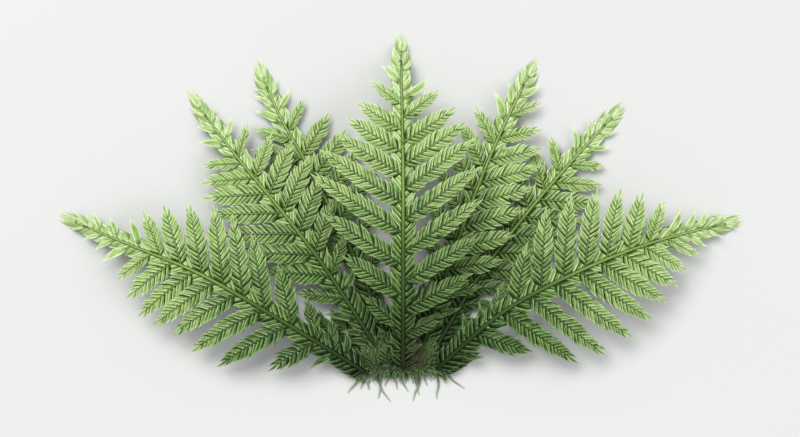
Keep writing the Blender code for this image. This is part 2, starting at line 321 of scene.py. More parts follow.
FRONDS = {
    "frond_centre": {
        "way": ((0.35, -19.9), (0.35, -4.5), (0.35, 6.3), (0.1, 20.3), (0.1, 24.9)),
        "heights": (2.15, 7.0, 9.6, 8.6, 4.5, 0.12),
        "left": shoots(
            (7.2, 13.4, 19.4, 27.2, 35.6, 43.4),
            (3.8, 7.4, 10.8, 14.8, 9.9, 5.0),
            (46, 57, 58, 57, 56, 44), droop=1.1,
        ),
        "right": shoots(
            (9.2, 15.0, 21.3, 29.7, 37.4, 43.2),
            (4.7, 8.8, 11.8, 12.6, 10.4, 2.8),
            (50, 58, 55, 56, 63, 64), droop=1.1,
        ),
    },
    "frond_left_outer": {
        "way": ((-5.3, -20.6), (-16.4, -13.7), (-26.7, -7.8), (-36.4, -3.8), (-46.3, 0.2)),
        "heights": (1.75, 5.0, 6.8, 6.0, 3.1, 0.12),
        "left": shoots(
            (8.6, 13.9, 20.1, 26.6, 34.7, 42.2),
            (3.5, 6.1, 10.2, 10.6, 11.4, 3.9),
            (57, 58, 65, 63, 62, 66), droop=2.2, curl=-5,
        ),
        "right": shoots(
            (6.5, 12.3, 18.2, 24.5, 31.0, 39.2, 43.6),
            (3.3, 4.7, 8.7, 11.0, 10.5, 6.4, 4.1),
            (42, 46, 51, 54, 49, 45, 58), droop=1.1,
        ),
    },
    "frond_left_middle": {
        "way": ((-2.2, -19.3), (-9.8, -7.4), (-16.1, 0.9), (-22.0, 8.0), (-28.7, 16.8)),
        "heights": (1.0, 2.6, 3.7, 3.5, 2.1, 0.12),
        "left": shoots(
            (7.0, 12.1, 17.4, 24.4, 31.4, 38.5, 42.3),
            (3.3, 5.6, 8.8, 10.8, 9.4, 4.6, 4.1),
            (38, 54, 54, 52, 52, 50, 56), droop=0.7,
        ),
        "right": shoots(
            (8.4, 14.7, 20.8, 27.6, 34.4),
            (3.7, 6.6, 8.6, 7.6, 4.4),
            (48, 62, 63, 55, 54), droop=0.7,
        ),
    },
    "frond_left_inner": {
        "way": ((-1.0, -19.2), (-5.4, -7.2), (-12.2, 6.3), (-16.2, 13.4), (-19.5, 21.1)),
        "heights": (0.75, 1.3, 1.7, 1.7, 1.2, 0.12),
        "left": shoots(
            (5.8, 9.3, 14.9, 21.6, 29.0),
            (3.2, 4.2, 7.2, 8.6, 5.5),
            (37, 40, 50, 54, 54), droop=0.4,
        ),
        "right": shoots(
            (7.6, 14.4, 20.8, 28.2, 36.0),
            (3.4, 7.0, 8.4, 7.2, 4.0),
            (50, 62, 63, 60, 56), droop=0.4,
        ),
    },
    "frond_right_inner": {
        "way": ((2.5, -19.2), (5.9, -8.4), (9.8, 2.5), (13.6, 11.6), (18.4, 21.3)),
        "heights": (1.0, 2.6, 3.7, 3.5, 2.1, 0.12),
        "left": shoots(
            (7.6, 13.1, 20.0, 27.0, 34.0),
            (3.4, 6.0, 8.2, 7.8, 4.6),
            (36, 50, 48, 52, 54), droop=0.7,
        ),
        "right": shoots(
            (6.1, 12.0, 18.4, 24.7, 30.9, 37.2),
            (3.8, 6.2, 8.6, 8.5, 7.6, 4.0),
            (30, 54, 54, 55, 62, 60), droop=0.7,
        ),
    },
    "frond_right_middle": {
        "way": ((3.9, -19.2), (10.2, -8.6), (17.5, 1.0), (24.2, 8.7), (30.3, 15.2)),
        "heights": (0.75, 1.3, 1.7, 1.7, 1.2, 0.12),
        "left": shoots(
            (7.0, 12.9, 19.4, 26.5, 33.5),
            (2.9, 5.4, 7.8, 8.0, 4.8),
            (48, 56, 56, 56, 54), droop=0.4,
        ),
        "right": shoots(
            (5.6, 11.2, 17.4, 23.5, 29.5, 35.2, 39.0),
            (2.4, 5.0, 8.2, 8.6, 7.6, 4.8, 4.1),
            (42, 51, 55, 55, 55, 55, 58), droop=0.4,
        ),
    },
    "frond_right_outer": {
        "way": ((5.4, -20.1), (13.8, -12.8), (24.2, -7.2), (34.8, -3.2), (46.4, -0.4)),
        "heights": (1.75, 5.0, 6.8, 6.0, 3.1, 0.12),
        "left": shoots(
            (6.8, 10.8, 16.4, 22.7, 29.2, 36.6, 41.6),
            (3.2, 4.5, 8.4, 10.7, 11.2, 5.1, 4.2),
            (50, 48, 56, 57, 58, 38, 52), droop=1.1, curl=3,
        ),
        "right": shoots(
            (8.2, 14.2, 20.3, 27.0, 34.9, 43.5),
            (3.8, 7.0, 10.6, 13.1, 12.2, 4.2),
            (42, 48, 54, 62, 69, 50), droop=2.2, curl=3,
        ),
    },
}


# %% Read a smooth value from a short list
def between(values, share):
    """Read evenly spaced values at a share from 0 to 1, on a smooth curve."""
    spans = len(values) - 1
    place = min(max(share, 0.0), 1.0) * spans
    first = min(int(place), spans - 1)
    t = place - first
    before, start, end, after = (
        values[min(max(first + k, 0), spans)] for k in (-1, 0, 1, 2)
    )
    slope_in = (end - before) / 2
    slope_out = (after - start) / 2
    return (
        start * (2 * t**3 - 3 * t**2 + 1)
        + slope_in * (t**3 - 2 * t**2 + t)
        + end * (3 * t**2 - 2 * t**3)
        + slope_out * (t**3 - t**2)
    )


def steps(number):
    """Shares from 0 to 1, in that many equal steps."""
    return [k / (number - 1) for k in range(number)]


print("a rise and a fall:", [round(between((0.0, 1.0, 0.0), t), 2) for t in steps(5)])


# %% Follow a main stem
class Stem:
    """A smooth way through a few plan points, read by its length in mm."""

    FINE = 200  # steps that its length is measured in

    def __init__(self, way, heights):
        self.heights = heights
        points = [Vector(p) for p in way]
        self.points = [between(points, k / self.FINE) for k in range(self.FINE + 1)]
        self.lengths = [0.0]
        for a, b in zip(self.points, self.points[1:]):
            self.lengths.append(self.lengths[-1] + (b - a).length)
        self.length = self.lengths[-1]

    def plan(self, distance):
        distance = min(max(distance, 0.0), self.length)
        for k in range(self.FINE):
            if self.lengths[k + 1] >= distance:
                break
        t = (distance - self.lengths[k]) / (self.lengths[k + 1] - self.lengths[k])
        return self.points[k].lerp(self.points[k + 1], t)

    def at(self, distance):
        height = between(self.heights, distance / self.length)
        return self.plan(distance).to_3d() + Vector((0, 0, height))

    def direction(self, distance, reach=1.5):
        return (self.plan(distance + reach) - self.plan(distance - reach)).normalized()


for name, form in FRONDS.items():
    print(name, "main stem", round(Stem(form["way"], form["heights"]).length, 1), "mm")

# %% Follow a side shoot
SHOOT_CLIMB = 0.45  # how steeply a shoot leaves its stem, as a share of its droop
DROOP_LENGTH = 10.0  # mm of a shoot that sinks by its side's droop
STATIONS = 15  # points along a shoot


def turned(direction, degrees):
    """A plan direction turned to the left by an angle."""
    angle = math.radians(degrees)
    return Vector((
        direction.x * math.cos(angle) - direction.y * math.sin(angle),
        direction.x * math.sin(angle) + direction.y * math.cos(angle),
    ))


def count(row):
    """How many shoots a row has, where it gives every second one."""
    return 2 * len(row["places"]) - 1


def shoot_way(stem, row, side, index):
    """Points along one side shoot, and how far up the main stem it leaves."""
    share = index / (count(row) - 1)
    from_base = stem.length - between(row["places"], share)
    length = between(row["lengths"], share)
    angle = between(row["angles"], share)
    forward = stem.direction(from_base)
    place = stem.at(from_base)
    sink = row["droop"] * (length / DROOP_LENGTH) ** 2
    points = []
    for t in steps(STATIONS):
        height = sink * (SHOOT_CLIMB * t - (1 + SHOOT_CLIMB) * t**2)
        points.append(place + Vector((0, 0, height)))
        heading = turned(forward, side * (angle + row["curl"] * (1 - 2 * t)))
        place = place + (heading * (length / (STATIONS - 1))).to_3d()
    return points, length, from_base


print("shoots on the left of the centre frond:", count(FRONDS["frond_centre"]["left"]))

# %% [markdown]
# ## Guides that carry their own measures
#
# A guide is a mesh with no faces, only chains of edges: one chain for the main
# stem and one for each side shoot. Its points carry attributes that say how
# large a leaf is there, how far it spreads from the stem, how thick the stem is
# and how old the tissue is. Geometry Nodes reads them by name. Keeping the
# measures on the guide means that one tree clothes every stem of the plant.
#
# A side shoot's leaves are largest a third of the way out and close up towards
# its tip, and the tissue gets younger along it. Near the foot of a frond the
# shoots stay dark all along, a painted shade for the fronds above them. The
# shortest shoots, most of them at the tip of a frond, are a single lance-shaped
# leaf.

# %% Turn chains of points into a guide
MEASURES = (
    "leaf_long", "leaf_wide", "leaf_gap", "leaf_spread", "leaf_under", "stem_thick", "age", "depth",
)


def guide(name, chains):
    """A mesh of open chains. Each point is (place in mm, its measures)."""
    mesh = bpy.data.meshes.new(name)
    places = [place * MM for chain in chains for place, _ in chain]
    edges = []
    first = 0
    for chain in chains:
        edges += [(first + k, first + k + 1) for k in range(len(chain) - 1)]
        first += len(chain)
    mesh.from_pydata(places, edges, [])
    for key, measure in enumerate(MEASURES):
        values = [measures[key] for chain in chains for _, measures in chain]
        mesh.attributes.new(measure, "FLOAT", "POINT").data.foreach_set("value", values)
    made = bpy.data.objects.new(name, mesh)
    bpy.context.scene.collection.objects.link(made)
    return made


print("each point carries", len(MEASURES), "measures")

# %% The leaf sizes, and how they change along a stem
LEAF_LONG = 2.15
LEAF_WIDE = 0.72
LEAF_GAP = 0.62
TIP_LEAF = 0.85  # share of its last leaf's length that reaches past a stem's end

SHOOT_LEAF_LONG = (0.86, 1.0, 1.06, 1.06, 1.0, 0.82, 0.60)
SHOOT_LEAF_WIDE = (0.95, 1.0, 1.0, 1.0, 0.92, 0.76, 0.56)
SHOOT_SPREAD = (37, 36, 35, 33, 29, 22, 11)
LAST_LEAF = 1.6  # times as long as the leaves beside it
SHOOT_THICK = (0.15, 0.14, 0.13, 0.115, 0.10, 0.08, 0.055)
SHOOT_UNDER = 0.09

STEM_LEAF_LONG = (1.1, 1.25, 1.35, 1.38, 1.38, 1.38, 1.4)
STEM_LEAF_WIDE = (1.1, 1.2, 1.3, 1.35, 1.4, 1.4, 1.3)
STEM_SPREAD = (34, 33, 32, 30, 27, 22, 15)
STEM_THICK = (0.31, 0.31, 0.30, 0.28, 0.25, 0.21, 0.15)
STEM_UNDER = (0.25, 0.25, 0.25, 0.22, 0.18, 0.12, 0.05)
print("a full leaf is", LEAF_LONG, "by", LEAF_WIDE, "mm")

# %% Measure out the side shoots
LANCE_SHOOT = 4.7  # mm: a shoot up to this long is a single lance leaf
FULL_SHOOT = 8.0  # mm: a shoot this long or longer has leaves of full size
SMALLEST_SHARE = 0.6  # how large the leaves of the shortest leafy shoot are
SHORT_SPREAD, SHORT_THICK = 0.4, 0.7  # and how far they spread, and how thick it is
STEM_AGE = 0.73  # how much younger a shoot is at the frond's tip than at its foot
SHOOT_AGE = 0.25  # how much younger a shoot's own tip is than its foot
# Shoots near the foot stay darker as a painted shade, under the fronds above.
SHADED_FOOT = 0.35  # share of a frond, from its foot, whose shoots stay darker
NARROWEST_SPREAD = 12
LANCE_STEM = 0.2  # share of a lance leaf's length that is its stalk
LANCE_WIDE = 0.23  # share of its length
LANCE_AGE = 1.3  # times as young as the main stem beside it
LANCE_THICK, LANCE_TAPER = 0.09, 0.05
NO_SIDE_LEAVES = 50.0  # a gap between leaves that is longer than any stalk


def measures(long, wide, gap, spread, under, thick, age, depth):
    return (long, wide, gap, math.radians(spread), under, thick, age, depth)


def lance_chain(points, length, width, age, depth):
    """A shoot that is one lance leaf: a short stalk that carries only its last leaf."""
    chain = []
    for t in (0.0, 0.5, 1.0):
        place = between(points, t * LANCE_STEM)
        long = length * (1 - LANCE_STEM) / LEAF_LONG
        thick = LANCE_THICK - LANCE_TAPER * t
        chain.append((place, measures(
            long, width / LEAF_WIDE, NO_SIDE_LEAVES, 0, 0.0, thick, age, depth
        )))
    return chain


def shoot_chain(stem, row, side, index, depth):
    """The points and measures of one side shoot."""
    points, length, from_base = shoot_way(stem, row, side, index)
    up_frond = from_base / stem.length
    growth = STEM_AGE * up_frond
    # Near the foot a shoot's tip gets less of its own growth: a painted shade.
    own_growth_shaded = SHOOT_AGE * min(up_frond / SHADED_FOOT, 1.0)
    if length <= LANCE_SHOOT:
        return lance_chain(points, length, LANCE_WIDE * length, LANCE_AGE * growth, depth)
    share = min((length - LANCE_SHOOT) / (FULL_SHOOT - LANCE_SHOOT), 1.0)
    size = SMALLEST_SHARE + (1 - SMALLEST_SHARE) * share
    last_leaf = LEAF_LONG * size * SHOOT_LEAF_LONG[-1] * LAST_LEAF * TIP_LEAF
    stop = 1 - last_leaf / length
    opened = SHORT_SPREAD + (1 - SHORT_SPREAD) * share
    chain = []
    for t in steps(STATIONS):
        spread = NARROWEST_SPREAD + (between(SHOOT_SPREAD, t) - NARROWEST_SPREAD) * opened
        longer = LAST_LEAF if t == 1.0 else 1.0
        chain.append((between(points, t * stop), measures(
            size * between(SHOOT_LEAF_LONG, t) * longer,
            size * between(SHOOT_LEAF_WIDE, t),
            size,
            spread,
            SHOOT_UNDER,
            between(SHOOT_THICK, t) * (SHORT_THICK + (1 - SHORT_THICK) * share),
            growth + own_growth_shaded * t,
            depth,
        )))
    return chain


print("shoots of up to", LANCE_SHOOT, "mm are single leaves")

# %% Measure out the main stem and its bud
BUD_LEAF = 3.0
BUD_WIDE = 0.72
BUD_STEM = 1.3
STEM_GAP = 1.3  # the leaves on a main stem stand this much further apart
STEM_TOP_AGE = 0.92
BUD_GAP = 0.8
BUD_SPREAD, BUD_CLOSING = 11, 8
BUD_UNDER = 0.02
BUD_TAPER = 0.4
BUD_AGE = 0.94

# Free leaves below the bud: mm from the tip, length, width and angle.
LANCES = ((3.0, 2.0, 0.30, 26), (4.4, 2.5, 0.36, 32), (5.6, 2.9, 0.48, 36), (6.8, 3.2, 0.60, 40))
TIP_AGE = 0.95


def stem_chain(stem, root, depth):
    """The points and measures of a main stem, from the creeping stem to the bud."""
    stop = stem.length - BUD_LEAF * TIP_LEAF - BUD_STEM
    chain = []
    for t in steps(40):
        chain.append((stem.at(t * stop), measures(
            between(STEM_LEAF_LONG, t),
            between(STEM_LEAF_WIDE, t),
            STEM_GAP,
            between(STEM_SPREAD, t),
            between(STEM_UNDER, t),
            between(STEM_THICK, t),
            STEM_TOP_AGE * t,
            depth,
        )))
    return [(root, chain[0][1])] + chain


def bud_chain(stem, depth):
    """The last stretch of a main stem, with long leaves that close on each other."""
    start = stem.length - BUD_LEAF * TIP_LEAF - BUD_STEM
    chain = []
    for t in steps(6):
        chain.append((stem.at(start + t * BUD_STEM), measures(
            BUD_LEAF / LEAF_LONG,
            BUD_WIDE / LEAF_WIDE,
            BUD_GAP,
            BUD_SPREAD - BUD_CLOSING * t,
            BUD_UNDER,
            STEM_THICK[-1] * (1 - BUD_TAPER * t),
            BUD_AGE + (1 - BUD_AGE) * t,
            depth,
        )))
    return chain


def tip_lances(stem, depth):
    """Narrow free leaves below the bud, on alternate sides."""
    chains = []
    for number, (from_tip, length, width, angle) in enumerate(LANCES):
        side = 1 if number % 2 else -1
        distance = stem.length - from_tip
        heading = turned(stem.direction(distance), side * angle).to_3d()
        start = stem.at(distance)
        points = [start + heading * length * t for t in steps(5)]
        chains.append(lance_chain(points, length, width, TIP_AGE, depth))
    return chains


print("a bud starts", round(BUD_STEM + BUD_LEAF * TIP_LEAF, 2), "mm from the tip")

# %% Put the guides of the fronds together
# How deep each frond lies in the fan: 0 on top, 1 at the bottom. The leaves of
# deeper fronds are darkened with painted shade.
DEPTHS = {
    "frond_centre": 0.0,
    "frond_left_outer": 0.15,
    "frond_right_outer": 0.15,
    "frond_left_middle": 0.5,
    "frond_right_inner": 0.5,
    "frond_left_inner": 0.9,
    "frond_right_middle": 0.9,
}
ROOT_REACH = 0.7  # mm that a frond's tube runs on towards the creeping stem
CREEPING_STEM_Z = 0.8


def frond_guide(name, form):
    stem = Stem(form["way"], form["heights"])
    root_plan = stem.plan(0) - stem.direction(0) * ROOT_REACH
    root = Vector((*root_plan, CREEPING_STEM_Z))
    depth = DEPTHS[name]
    chains = [stem_chain(stem, root, depth), bud_chain(stem, depth), *tip_lances(stem, depth)]
    for hand, side in (("left", 1), ("right", -1)):
        for index in range(count(form[hand])):
            chains.append(shoot_chain(stem, form[hand], side, index, depth))
    return guide(name + "_guide", chains)


guides = {name: frond_guide(name, form) for name, form in FRONDS.items()}
print("guides", {name: len(g.data.vertices) for name, g in guides.items()})

# %% [markdown]
# ## The creeping stem
#
# This is the oldest part of the plant: a short brown-green stem that lies on
# the surface among its youngest shoots, with thin root-like threads below it,
# the rhizoids. Each of them could be a bevelled curve of its own. They are
# chains in one more guide instead, so that the same tree gives them their tubes
# and leaves. The threads and shoots of the solid model keep their places here,
# and finer ones, scattered with a fixed seed, fill in between them.

# %% Where the rhizoids and the young shoots grow
CREEPING_STEM = (
    (-5.6, -20.9, 0.65),
    (-3.0, -20.3, 0.75),
    (0.3, -20.5, 0.80),
    (3.2, -20.2, 0.75),
    (6.1, -20.6, 0.65),
)
CREEPING_STEM_THICK = (0.25, 0.38, 0.40, 0.40, 0.40, 0.38, 0.25)

# Where each rhizoid leaves the stem, and where its tip comes to rest: x, x, y.
RHIZOIDS = (
    (-5.2, -7.1, -23.8),
    (-3.9, -4.3, -23.4),
    (-3.3, -1.4, -24.9),
    (-2.7, -3.2, -22.3),
    (-2.1, -3.0, -24.5),
    (-1.3, -2.1, -22.9),
    (-0.9, -0.4, -23.3),
    (-0.2, 1.0, -23.6),
    (1.0, 1.1, -22.1),
    (1.9, 2.5, -24.0),
    (2.8, 1.7, -24.8),
    (3.1, 3.6, -22.8),
    (4.1, 4.0, -22.1),
    (4.9, 4.9, -24.6),
    (5.1, 6.1, -22.5),
    (5.9, 8.6, -23.2),
)

# Where each young shoot leaves the stem, its angle to the left and its length.
YOUNG_SHOOTS = (
    (-4.8, 54, 9.5),
    (-4.3, 43, 12.2),
    (-3.5, 36, 10.5),
    (0.5, 6, 9.5),
    (1.3, -8.5, 12.4),
    (4.7, -41, 8.6),
    (5.0, -50, 8.6),
    (5.4, -62, 6.5),
)

knots = [Vector(p) for p in CREEPING_STEM]


def on_stem(x):
    """The place on the creeping stem at x."""
    return between(knots, (x - knots[0].x) / (knots[-1].x - knots[0].x))


print(len(RHIZOIDS), "rhizoids and", len(YOUNG_SHOOTS), "young shoots")

# %% Measure out the rhizoids and the finer threads
RHIZOID_THICK = (0.19, 0.15, 0.13, 0.11, 0.08)
RHIZOID_WAVE = 0.10  # mm that it sways from its way
WAVE_TURN = 9  # radians that the wave goes through along a thread
SPLAY = 1.5  # how late a thread turns aside: 1 would be straight
DIP = 1.8  # how soon a thread or a young shoot comes down to the surface
FINE_THREADS = 30
THREAD_WAVE = 0.25
THREAD_REACH = (0.9, 3.0)
THREAD_THICK = (0.35, 0.55)  # share of a rhizoid's thickness


def bare(thick, age, depth=0.0):
    """The measures of a stem without leaves."""
    return measures(0.0, 0.0, NO_SIDE_LEAVES, 0, 0.0, thick, age, depth)


def rhizoid_chain(start, tip_x, tip_y, thick, wave, dice):
    """A thread that leaves the creeping stem and comes down to the surface."""
    tip = Vector((tip_x, tip_y, thick[-1]))
    turn = dice.uniform(0, 2 * math.pi)
    chain = []
    for t in steps(STATIONS):
        radius = between(thick, t)
        place = start.lerp(tip, t)
        place.x = start.x + (tip.x - start.x) * t**SPLAY
        place.x += wave * t * (1 - t) * 4 * math.sin(turn + WAVE_TURN * t)
        place.z = radius + (start.z - radius) * (1 - t) ** DIP
        chain.append((place, bare(radius, t)))
    return chain


def thread_chains(dice):
    chains = [
        rhizoid_chain(on_stem(start_x), tip_x, tip_y, RHIZOID_THICK, RHIZOID_WAVE, dice)
        for start_x, tip_x, tip_y in RHIZOIDS
    ]
    for _ in range(FINE_THREADS):
        start = on_stem(dice.uniform(-5.0, 5.6))
        reach = dice.uniform(*THREAD_REACH)
        tip_x = start.x + dice.uniform(-0.9, 0.9)
        thick = [share * dice.uniform(*THREAD_THICK) for share in RHIZOID_THICK]
        chains.append(rhizoid_chain(start, tip_x, start.y - reach, thick, THREAD_WAVE, dice))
    return chains


print(len(RHIZOIDS) + FINE_THREADS, "threads in all")

# %% Measure out the young shoots
YOUNG_SHOOT_HEIGHT = 0.34
YOUNG_SHOOT_SIZE = 0.9
YOUNG_AGE, YOUNG_GROWTH = 0.04, 0.2
# How deep the young shoots lie, which sets their painted shade.
YOUNG_DEPTH = 0.5


def young_shoot_chain(start, angle, length):
    """A shoot that lies on the surface under the fronds, as leafy as a side shoot."""
    heading = turned(Vector((0, 1)), angle).to_3d()
    chain = []
    for t in steps(STATIONS):
        place = start + heading * (length - TIP_LEAF * LEAF_LONG) * t
        place.z = YOUNG_SHOOT_HEIGHT + (start.z - YOUNG_SHOOT_HEIGHT) * (1 - t) ** DIP
        chain.append((place, measures(
            YOUNG_SHOOT_SIZE * between(SHOOT_LEAF_LONG, t),
            YOUNG_SHOOT_SIZE * between(SHOOT_LEAF_WIDE, t),
            YOUNG_SHOOT_SIZE,
            between(SHOOT_SPREAD, t),
            SHOOT_UNDER,
            between(SHOOT_THICK, t),
            YOUNG_AGE + YOUNG_GROWTH * t,
            YOUNG_DEPTH,
        )))
    return chain


print("the longest young shoot is", max(length for _, _, length in YOUNG_SHOOTS), "mm")

# %% Scatter the small shoots and the tufts
SMALL_SHOOTS = 17
SHOOTS_FROM, SHOOTS_OVER = -5.2, 10.6  # mm of the creeping stem that they grow on
SHOOTS_FAN = 62  # degrees to each side that they fan out
LEAF_TUFTS = 46
TUFTS_FROM, TUFTS_OVER = -5.5, 11.4
SMALL_SPREAD = (26, 26, 22, 12)
SMALL_UNDER = 0.03
SMALL_THICK, SMALL_TAPER = 0.12, 0.06
SMALL_GROWTH = 0.10
# How deep the small shoots and tufts lie, which sets their painted shade.
SMALL_DEPTH = 0.6


def small_shoot_chain(start, angle, length, size, climb):
    """A short leafy shoot among the feet of the fronds."""
    heading = turned(Vector((0, 1)), angle).to_3d()
    chain = []
    for t in steps(8):
        place = start + heading * length * t + Vector((0, 0, climb * math.sin(2.2 * t)))
        chain.append((place, measures(
            size,
            size,
            size,
            between(SMALL_SPREAD, t),
            SMALL_UNDER,
            SMALL_THICK - SMALL_TAPER * t,
            SMALL_GROWTH * t,
            SMALL_DEPTH,
        )))
    return chain


def scattered_chains(dice):
    """Small shoots that rise in a fan, then tufts that lie to both sides and forward."""
    chains = []
    for number in range(SMALL_SHOOTS):
        share = (number + dice.uniform(0.2, 0.8)) / SMALL_SHOOTS
        start = on_stem(SHOOTS_FROM + SHOOTS_OVER * share)
        start = start + Vector((0, dice.uniform(-0.2, 0.2), 0.25))
        angle = SHOOTS_FAN - 2 * SHOOTS_FAN * share + dice.uniform(-16, 16)
        length = dice.uniform(2.2, 3.8)
        chains.append(small_shoot_chain(start, angle, length, dice.uniform(0.62, 0.85), 0.5))
    for number in range(LEAF_TUFTS):
        share = (number + dice.uniform(0.2, 0.8)) / LEAF_TUFTS
        start = on_stem(TUFTS_FROM + TUFTS_OVER * share)
        start = start + Vector((0, dice.uniform(-0.3, 0.1), 0.40))
        angle = math.copysign(dice.uniform(60, 165), 0.5 - share + dice.uniform(-0.2, 0.2))
        length = dice.uniform(0.4, 1.0)
        chains.append(small_shoot_chain(start, angle, length, dice.uniform(0.45, 0.65), 0.0))
    return chains


print(SMALL_SHOOTS, "small shoots and", LEAF_TUFTS, "tufts")


# %% Put the guide of the creeping stem together
def creeping_stem_guide():
    dice = random.Random(12)
    chain = []
    for t in steps(25):
        chain.append((between(knots, t), bare(between(CREEPING_STEM_THICK, t), 0.0)))
    chains = [chain, *thread_chains(dice)]
    for start_x, angle, length in YOUNG_SHOOTS:
        chains.append(young_shoot_chain(on_stem(start_x), angle, length))
    chains += scattered_chains(dice)
    print("creeping stem", len(chains), "chains")
    return guide("creeping_stem_guide", chains)


guides["creeping_stem"] = creeping_stem_guide()

# %% [markdown]
# ## One leaf
#
# A moss leaf is a pointed blade one cell thick, cupped along its length, with a
# finely tapered tip. It could be a single sheet, but a sheet has no body when
# it is exported and looks wrong from its edge. So the leaf is a thin closed
# shell: a domed top and a flatter underside that meet at the margin.
#
# It is modelled at a length and width of 1 mm, so that the length and width of
# each leaf on the plant are simply its scale. Real leaves of such a moss sweep
# forward, towards the tip of their stem, so there is one set of blades for the
# left side and one for the right. Three slightly different blades a side are
# enough to hide the repeat.
#
# A blade has two maps. `LeafUV` runs across and along the leaf, for its tissue.
# `OFBake` has the top and the underside beside each other on one tile, so that
# the export can bake every leaf to a place of its own.

# %% Shape a leaf blade
ROWS = (0.0, 0.10, 0.24, 0.40, 0.57, 0.74, 0.89)
HALF_WIDTHS = (0.18, 0.36, 0.49, 0.49, 0.38, 0.22, 0.09)
ACROSS = (-1.0, -0.5, 0.0, 0.5, 1.0)
DOME = 0.03  # mm that the midline stands above the margins of a full leaf
THICKNESS = 0.03
BOW = 0.28  # mm that the middle of a leaf stands out from the line to its tip
SHARP = math.radians(50)  # edges that turn by more than this stay crisp
TILE_TOP, TILE_UNDER = 0.02, 0.52  # where the two halves of a blade start on its tile
TILE_WIDE, TILE_LONG, TILE_EDGE = 0.46, 0.96, 0.02


def leaf_blade(name, side, bow, twist, arch):
    """A closed blade from the origin to (0, 1) mm, for the left (1) or right (-1) side."""
    blade = bmesh.new()
    uv = blade.loops.layers.uv.new("LeafUV")
    own_place = blade.loops.layers.uv.new("OFBake")

    def point(along, across, half, lift):
        height = DOME * half * 2 * (1 - across**2) + arch * math.sin(math.pi * along)
        height += twist * across * half * along + lift
        sway = -side * bow * 4 * along * (1 - along)
        return blade.verts.new(Vector((across * half + sway, along, height)) * MM)

    tops, unders = [], []
    for along, half in zip(ROWS, HALF_WIDTHS):
        top = [point(along, across, half, 0.0) for across in ACROSS]
        keel = point(along, 0.0, half, -THICKNESS - DOME * half)
        tops.append(top)
        unders.append([top[0], keel, top[-1]])
    tip = blade.verts.new(Vector((0.0, 1.0, 0.0)) * MM)

    def face(corners, spots, start):
        made = blade.faces.new(corners)
        made.smooth = True
        for loop, (u, v) in zip(made.loops, spots):
            loop[uv].uv = (u, v)
            loop[own_place].uv = (start + TILE_WIDE * u, TILE_EDGE + TILE_LONG * v)

    shares = [(1 + a) / 2 for a in ACROSS]
    levels = (*ROWS, 1.0)
    halves = ((tops, shares, TILE_TOP, False), (unders, (0.0, 0.5, 1.0), TILE_UNDER, True))
    for rows, places, start, flip in halves:
        for r, here in enumerate(rows):
            for c, (left, right) in enumerate(zip(places, places[1:])):
                corners = [here[c], here[c + 1]]
                spots = [(left, levels[r]), (right, levels[r])]
                if r + 1 < len(rows):
                    corners += [rows[r + 1][c + 1], rows[r + 1][c]]
                    spots += [(right, levels[r + 1]), (left, levels[r + 1])]
                else:
                    corners.append(tip)
                    spots.append((0.5, 1.0))
                if flip:
                    corners.reverse()
                    spots.reverse()
                face(corners, spots, start)

    # The small face that closes the root end is drawn together at its middle.
    ring = [(0.5 + 0.2 * math.cos(k), 0.005 + 0.005 * math.sin(k)) for k in range(6)]
    face([*reversed(tops[0]), unders[0][1]], ring, TILE_UNDER)
    bmesh.ops.recalc_face_normals(blade, faces=blade.faces)
    for edge in blade.edges:
        if edge.calc_face_angle(0) > SHARP:
            edge.smooth = False
    mesh = bpy.data.meshes.new(name)
    blade.to_mesh(mesh)
    blade.free()
    return mesh


# How much more each blade of a side bows, and its twist and arch, in mm.
BLADES = ((0.0, 0.0, 0.02), (0.05, 0.10, 0.04), (-0.06, -0.10, 0.0))

leaves = bpy.data.collections.new("leaves")
bpy.context.scene.collection.children.link(leaves)
for hand, side in (("left", 1), ("right", -1)):
    for number, (more_bow, twist, arch) in enumerate(BLADES):
        name = f"leaf_{hand}_{number}"
        leaf = bpy.data.objects.new(name, leaf_blade(name, side, BOW + more_bow, twist, arch))
        leaves.objects.link(leaf)
        print(name, len(leaf.data.polygons), "faces")

# %% [markdown]
# ## The tree that clothes a stem
#
# The tree reads a guide and makes two things from it: a tube for each stem, and
# leaves in two rows. `Resample Curve` sets the points where leaves grow, half a
# gap apart, and the number of a point on its stem says the side: even ones go
# left and odd ones right, as leaves alternate on a real shoot.
#
# A leaf is turned by two axes. It points forward along the stem, swung out by
# the spread, and its face looks up, rolled so that its front margin lies over
# the leaf ahead, like a roof tile. The last leaf of a stem points straight on.
# The turn is captured before the points step aside to the flanks of the stem,
# because stepping aside would bend the line that the turn is measured from.


# %% Small recipes for the tree
def named(tree, name, data_type="FLOAT"):
    made = node(tree, "GeometryNodeInputNamedAttribute", {"Name": name}, data_type=data_type)
    return out(made, "Attribute")


def chance(low, high, seed, step):
    """A random number for each point, its own for each step of the recipe."""
    own = out(node(seed.tree, "FunctionNodeIntegerMath", {0: seed, 1: step}, operation="ADD"))
    made = node(seed.tree, "FunctionNodeRandomValue", {"Min": low, "Max": high, "Seed": own})
    return out(made, "Value")


def remap(value, low, high, to_low=0.0, to_high=1.0):
    """Carry a value from one range to another, and stop it at the ends."""
    inputs = {"Value": value, "From Min": low, "From Max": high}
    inputs.update({"To Min": to_low, "To Max": to_high})
    return out(node(value.tree, "ShaderNodeMapRange", inputs, clamp=True))


def store(geometry, name, value, domain="POINT", data_type="FLOAT"):
    settings = {"domain": domain, "data_type": data_type}
    inputs = {"Geometry": geometry, "Name": name, "Value": value}
    return out(node(geometry.tree, "GeometryNodeStoreNamedAttribute", inputs, **settings))


def store_map(geometry, u, v):
    """Write the places on the sheet that the export bakes the colours to."""
    place = joined(geometry.tree, u, v)
    return store(geometry, "OFBake", place, domain="CORNER", data_type="FLOAT2")


def count_of(geometry, component, output):
    inputs = {"Geometry": geometry}
    made = node(geometry.tree, "GeometryNodeAttributeDomainSize", inputs, component=component)
    return out(made, output)


def of_tissue(geometry, material):
    inputs = {"Geometry": geometry, "Material": material}
    return out(node(geometry.tree, "GeometryNodeSetMaterial", inputs))


